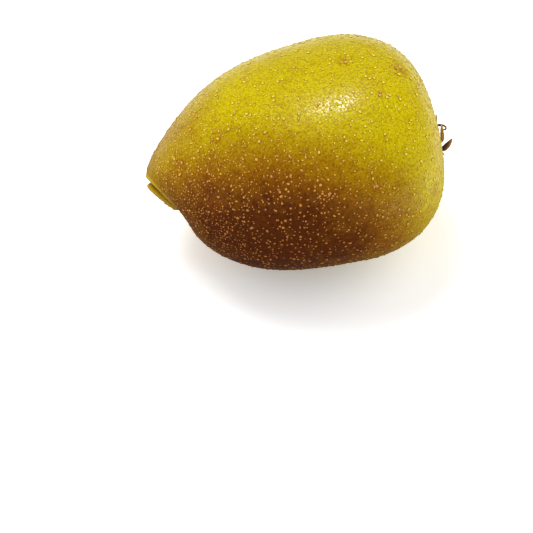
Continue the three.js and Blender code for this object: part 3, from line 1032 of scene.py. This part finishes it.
class KIWI_OT_button(bpy.types.Operator):
    """Make the corky button where the stalk broke off"""

    bl_idname = "kiwi.button"
    bl_label = "Stem button"

    # Share of the radius and of the height along the button's section.
    profile = (
        (0.55, 0.0), (0.96, 0.0), (1.0, 0.16), (1.01, 0.45), (0.98, 0.75), (0.93, 0.93),
        (0.84, 1.0), (0.72, 1.0), (0.6, 0.94), (0.46, 0.82), (0.32, 0.73), (0.16, 0.66),
    )
    sections = 56
    around = 96
    ridges = 9

    def execute(self, context):
        settings = context.scene.kiwi_stem_end
        skin = Skin(context.scene.kiwi_shape)
        base = skin.seat_at(settings.button_radius) + PIECE_GAP
        along = np.linspace(0, len(self.profile) - 1, self.sections)
        shares = np.interp(along, range(len(self.profile)), [p[0] for p in self.profile])
        levels = np.interp(along, range(len(self.profile)), [p[1] for p in self.profile])
        rings = [self.ring(settings, base, *pair) for pair in zip(shares, levels)]
        ends = [(base, SCAR_Y, SCAR_Z), (base + settings.button_height * 0.62, SCAR_Y, SCAR_Z)]
        ends = skin.lie_down(ends)
        piece = new_object("stem_cork", tube_mesh("stem_cork", skin.lie_down(rings), *ends))
        piece.data.materials.append(self.material(settings, skin, base))
        settle(piece, "stem_button")
        return {"FINISHED"}

    def ring(self, settings, base, radius_share, level):
        """One ring of the button, ridged at its side and cracked on its broken face."""
        points = []
        for j in range(self.around):
            angle = 2 * math.pi * j / self.around
            side = max(0.0, min(1.0, (radius_share - 0.7) / 0.2))
            ridged = 1 + side * 0.035 * math.cos(self.ridges * angle)
            radius = settings.button_radius * radius_share * ridged
            y, z = radius * math.cos(angle), radius * math.sin(angle)
            rough = ragged((level * 3 * MM, y, z), 0.35 * MM, 0.05 * MM) if level > 0.1 else 0
            crack = math.cos(4 * angle + 3 * noise.noise(Vector((y, z, 0)) / (1.2 * MM))) ** 16
            sunk = 0.12 * MM * crack * min(1.0, radius_share * 1.5) * (level > 0.7)
            x = base + settings.button_height * level + rough - sunk
            points.append((x, y + SCAR_Y, z + SCAR_Z))
        return points

    def material(self, settings, skin, base):
        """Dry cork, paler on the broken face and bark-brown at the side."""
        material, maker = new_material("stem_cork")
        place = maker.place()
        middle = Vector(skin.lie_down([(base, SCAR_Y, SCAR_Z)])[0])
        away = maker.away(place, middle)
        speck = maker.cloud(place, 0.35 * MM, 4.0, 0.7)
        grain = maker.cloud(place, 1.1 * MM, 3.0, 0.6)
        tone = maker.mix(away.ramp(1.6 * MM, 2.5 * MM), settings.cork, settings.bark)
        tone = maker.mix(speck.ramp(0.45, 0.62) * 0.6, tone, settings.bark)
        tone = maker.mix(grain.ramp(0.55, 0.75) * 0.5, tone, paint(196, 170, 118))
        normal = maker.bump(speck + grain * 0.5, 0.12 * MM, 0.9)
        finish_surface(maker, tone, rough=0.9, normal=normal, gloss=0.2)
        return material


class KIWI_OT_calyx(bpy.types.Operator):
    """Make the dried calyx: a low ring with five curled sepals and a torn shred"""

    bl_idname = "kiwi.calyx"
    bl_label = "Dried calyx"

    steps = 44
    section = 18

    def execute(self, context):
        settings = context.scene.kiwi_stem_end
        skin = Skin(context.scene.kiwi_shape)
        parts = [self.ring(settings, skin)]
        parts += [self.sepal(settings, skin, *sepal) for sepal in SEPALS]
        joined = bmesh.new()
        for part in parts:
            joined.from_mesh(part)
            bpy.data.meshes.remove(part)
        mesh = bpy.data.meshes.new("calyx")
        joined.to_mesh(mesh)
        joined.free()
        mesh.shade_smooth()
        piece = new_object("calyx", mesh)
        middle = skin.lie_down([(skin.seat_at(0.0), SCAR_Y, SCAR_Z)])[0]
        piece.data.materials.append(self.material(settings, Vector(middle)))
        settle(piece, "dried_calyx")
        return {"FINISHED"}

    def ring(self, settings, skin):
        """The wrinkled ring that the sepals grow from."""
        base = skin.seat_at(settings.ring_outer) + PIECE_GAP
        middle = (settings.ring_inner + settings.ring_outer) / 2
        half = (settings.ring_outer - settings.ring_inner) / 2
        around, across = 120, 20
        vertices = []
        for i in range(around):
            angle = 2 * math.pi * i / around
            for k in range(across):
                turn = 2 * math.pi * k / across
                wrinkle = 1 + 0.06 * math.cos(23 * angle) * max(0.0, math.sin(turn))
                radius = middle + half * math.cos(turn) * 0.96
                x = base + settings.ring_height / 2 * (1 + math.sin(turn) * wrinkle * 0.94)
                y, z = radius * math.cos(angle), radius * math.sin(angle)
                vertices.append((x, y + SCAR_Y, z + SCAR_Z))
        faces = []
        for i in range(around):
            for k in range(across):
                a, b = i * across, ((i + 1) % around) * across
                faces.append((a + k, b + k, b + (k + 1) % across, a + (k + 1) % across))
        mesh = bpy.data.meshes.new("calyx_ring")
        mesh.from_pydata([tuple(p) for p in skin.lie_down(vertices)], [], faces)
        point_outwards(mesh)
        return mesh

    def sepal(self, settings, skin, turn, span, width, stand, curl, sway, twist, roll, thin):
        """One dried sepal, swept along an arc that starts in the ring."""
        angle = BROW_ANGLE + math.radians(turn)
        outward = Vector((0, math.cos(angle), math.sin(angle)))
        side = Vector((0, -math.sin(angle), math.cos(angle)))
        away = Vector((1, 0, 0))
        foot = outward * (settings.ring_inner + settings.ring_outer) / 2
        foot += away * (skin.seat_at(settings.ring_outer) + PIECE_GAP + settings.ring_height / 2)
        foot += Vector((0, SCAR_Y, SCAR_Z))
        middle = foot.copy()
        rings = []
        for i in range(self.steps + 1):
            along = i / self.steps
            settled = min(1, along / SEPAL_SETTLED)
            rise = math.radians(stand + curl * along + roll * along**4)
            lean = math.radians(sway * settled)
            heading = outward * math.cos(rise) + away * math.sin(rise)
            heading = heading * math.cos(lean) + side * math.sin(lean)
            if i:
                middle = middle + heading * (span / self.steps)
            back = heading.cross(side).normalized()
            back.rotate(Quaternion(heading, math.radians(twist * settled)))
            thickness = settings.sepal_thickness * thin
            rings.append(self.slice(along, width, thickness, middle, heading, back))
        tip = middle + heading * 0.08 * MM
        return tube_mesh("sepal", skin.lie_down(rings), *skin.lie_down([foot, tip]))

    def slice(self, along, width, thickness, middle, heading, back):
        """A section of a sepal: thin and ragged at both edges, ribbed, thicker in the middle."""
        edge = back.cross(heading).normalized()
        half = width / 2 * math.sin(math.pi * (0.24 + 0.72 * along)) ** 0.8
        half *= 0.90 + 0.12 * noise.noise(middle / (0.5 * MM))
        thick = thickness / 2 * (1 - 0.35 * along)
        points = []
        for k in range(self.section):
            turn = 2 * math.pi * k / self.section
            across = math.cos(turn)
            rib = 1 + 0.22 * math.cos(9 * across) * (1 - abs(across))
            up = math.sin(turn) * thick * (1 - 0.45 * across**2) * rib
            fray = 0.05 * MM * noise.noise((middle + edge * across * half) / (0.3 * MM))
            points.append(middle + edge * (across * half) + back * (up + fray))
        return points

    def material(self, settings, middle):
        """Brittle brown leaf: dark red-brown at the foot, golden in the middle, tan at the tip."""
        material, maker = new_material("calyx")
        place = maker.place()
        away = maker.away(place, middle)
        fibres = maker.cloud(place, 0.22 * MM, 4.0, 0.7)
        blotch = maker.cloud(place, 0.6 * MM, 3.0, 0.6)
        tone = maker.mix(away.ramp(4.0 * MM, 5.2 * MM), settings.dark, settings.dry)
        tone = maker.mix(blotch.ramp(0.52, 0.68) * 0.6, tone, settings.dark)
        tone = maker.mix(away.ramp(6.2 * MM, 8.0 * MM) * 0.6, tone, paint(230, 204, 140))
        tone = maker.mix(fibres.ramp(0.5, 0.7) * 0.25, tone, paint(46, 24, 8))
        normal = maker.bump(fibres, 0.08 * MM, 0.9)
        finish_surface(maker, tone, rough=0.88, normal=normal, gloss=0.25)
        return material


class KIWI_OT_stage(bpy.types.Operator):
    """Set the white table, its soft light and the camera"""

    bl_idname = "kiwi.stage"
    bl_label = "Studio"

    def execute(self, context):
        scene = context.scene
        settings = scene.kiwi_studio
        scene.view_settings.view_transform = "Standard"
        self.camera(scene, settings)
        self.table(settings)
        self.surroundings(scene, settings)
        for light in LIGHTS:
            self.softbox(settings, *light)
        return {"FINISHED"}

    def camera(self, scene, settings):
        eye, _, _, back = view_axes()
        data = bpy.data.cameras.new("camera")
        data.lens = settings.lens
        data.sensor_width = SENSOR / MM
        made = new_object("camera", data)
        made.location = eye
        made.rotation_euler = back.to_track_quat("Z", "Y").to_euler()
        scene.camera = made

    def table(self, settings):
        """A white table, which shows, mirrors and throws back light in ways of its own."""
        floor = bpy.data.meshes.new("table")
        shell = bmesh.new()
        bmesh.ops.create_circle(shell, cap_ends=True, segments=96, radius=TABLE_RADIUS)
        shell.to_mesh(floor)
        shell.free()
        made = new_object("table", floor)
        material, maker = new_material("table")
        place = maker.place()
        apart = maker.away(place, Vector((0, 0, 0)))
        beside = maker.part(place, "X")
        behind = maker.part(place, "Y")
        glossy = {
            0: maker.ray("Glossy"),
            1: self.thrown_back(maker, settings, place, beside),
            2: self.mirrored(maker, apart, beside, behind),
        }
        unseen = maker.node("ShaderNodeMixShader", {}, glossy)
        seen = {0: maker.ray("Camera"), 1: unseen, 2: self.lit_top(maker, settings, apart)}
        finish_material(maker, maker.node("ShaderNodeMixShader", {}, seen))
        material.cycles.emission_sampling = "NONE"
        floor.materials.append(material)

    def lit_top(self, maker, settings, apart):
        """What the camera sees: white, with a painted shadow round the fruit's foot, and brighter
        far off.
        """
        white = maker.node("ShaderNodeBsdfDiffuse", {}, {"Color": TABLE_WHITE})
        # The glow is cut round the fruit's foot as a painted shadow.
        near = settings.floor_glow * (0.25 + apart.ramp(8 * MM, 36 * MM) * 0.75)
        glow = maker.glow(near + apart.ramp(0.12, 0.40) * 0.35)
        return maker.node("ShaderNodeAddShader", {}, {0: white, 1: glow})

    def mirrored(self, maker, apart, beside, behind):
        """What the skin mirrors: dim in front, bright behind the fruit and by its stem end."""
        far = behind.ramp(20 * MM, 90 * MM).larger(beside.ramp(40 * MM, 90 * MM))
        return maker.glow(0.12 + far * apart.ramp(0.42, 0.16) * 1.8)

    def thrown_back(self, maker, settings, place, beside):
        """The warm light that comes back from the table, least of it from a dim spot in front."""
        lit = maker.away(place, DIM_SPOT).ramp(28 * MM, 62 * MM)
        bounce = settings.bounce_dim + lit * settings.bounce
        return maker.glow(bounce + beside.ramp(20 * MM, 80 * MM) * 0.35, (1.0, 0.96, 0.88))

    def surroundings(self, scene, settings):
        """White all round, with less of it reaching the fruit as soft light."""
        world = bpy.data.worlds.new("studio")
        world.use_nodes = True
        world.node_tree.nodes.clear()
        world.cycles.sampling_method = "NONE"
        maker = Maker(world.node_tree)
        direction = maker.node("ShaderNodeTexCoord", output="Generated")
        mirrored = 0.08 + maker.part(direction, "Z").ramp(0.32, 0.02) * 0.45
        camera = maker.ray("Camera")
        soft = maker.ray("Diffuse")
        around = mirrored * (1 - soft) + soft * settings.ambient
        white = {"Color": (1.0, 1.0, 1.0), "Strength": camera + (1 - camera) * around}
        sky = maker.node("ShaderNodeBackground", {}, white)
        maker.node("ShaderNodeOutputWorld", {}, {"Surface": sky})
        scene.world = world

    def softbox(self, settings, name, size, distance, direction, unseen_by):
        """A square light that faces the fruit and leaves one kind of ray out."""
        data = bpy.data.lights.new(name, "AREA")
        data.energy = getattr(settings, f"{name}_power")
        data.size = size
        made = new_object(f"{name}_light", data)
        towards = Vector(direction).normalized()
        made.location = towards * distance + LIGHTS_AIM_AT
        made.rotation_euler = towards.to_track_quat("Z", "Y").to_euler()
        setattr(made, f"visible_{unseen_by}", False)


class KIWI_PT_tools(bpy.types.Panel):
    """Lists the pieces of the fruit"""

    bl_label = "Golden Kiwi Fruit"
    bl_idname = "KIWI_PT_tools"
    bl_space_type = "VIEW_3D"
    bl_region_type = "UI"
    bl_category = "Kiwi"

    def draw(self, context):
        for name, group in SETTINGS.items():
            box = self.layout.box()
            box.label(text=group.__doc__)
            for entry in group.__annotations__:
                box.prop(getattr(context.scene, name), entry)
        for operator in OPERATORS:
            self.layout.operator(operator.bl_idname)


SETTINGS = {
    "kiwi_shape": KiwiShape,
    "kiwi_finish": KiwiFinish,
    "kiwi_lenticels": KiwiLenticels,
    "kiwi_stem_end": KiwiStemEnd,
    "kiwi_studio": KiwiStudio,
}
OPERATORS = (
    KIWI_OT_stage, KIWI_OT_skin, KIWI_OT_lenticels, KIWI_OT_scars, KIWI_OT_button, KIWI_OT_calyx
)


def register():
    for name, group in SETTINGS.items():
        bpy.utils.register_class(group)
        setattr(bpy.types.Scene, name, PointerProperty(type=group))
    for entry in (*OPERATORS, KIWI_PT_tools):
        bpy.utils.register_class(entry)


def unregister():
    for entry in (KIWI_PT_tools, *reversed(OPERATORS)):
        bpy.utils.unregister_class(entry)
    for name, group in SETTINGS.items():
        delattr(bpy.types.Scene, name)
        bpy.utils.unregister_class(group)


def main():
    """Makes the stage and every piece in order."""
    register()
    bpy.ops.kiwi.stage()
    bpy.ops.kiwi.skin()
    bpy.ops.kiwi.lenticels()
    bpy.ops.kiwi.scars()
    bpy.ops.kiwi.button()
    bpy.ops.kiwi.calyx()


if __name__ == "__main__":
    main()
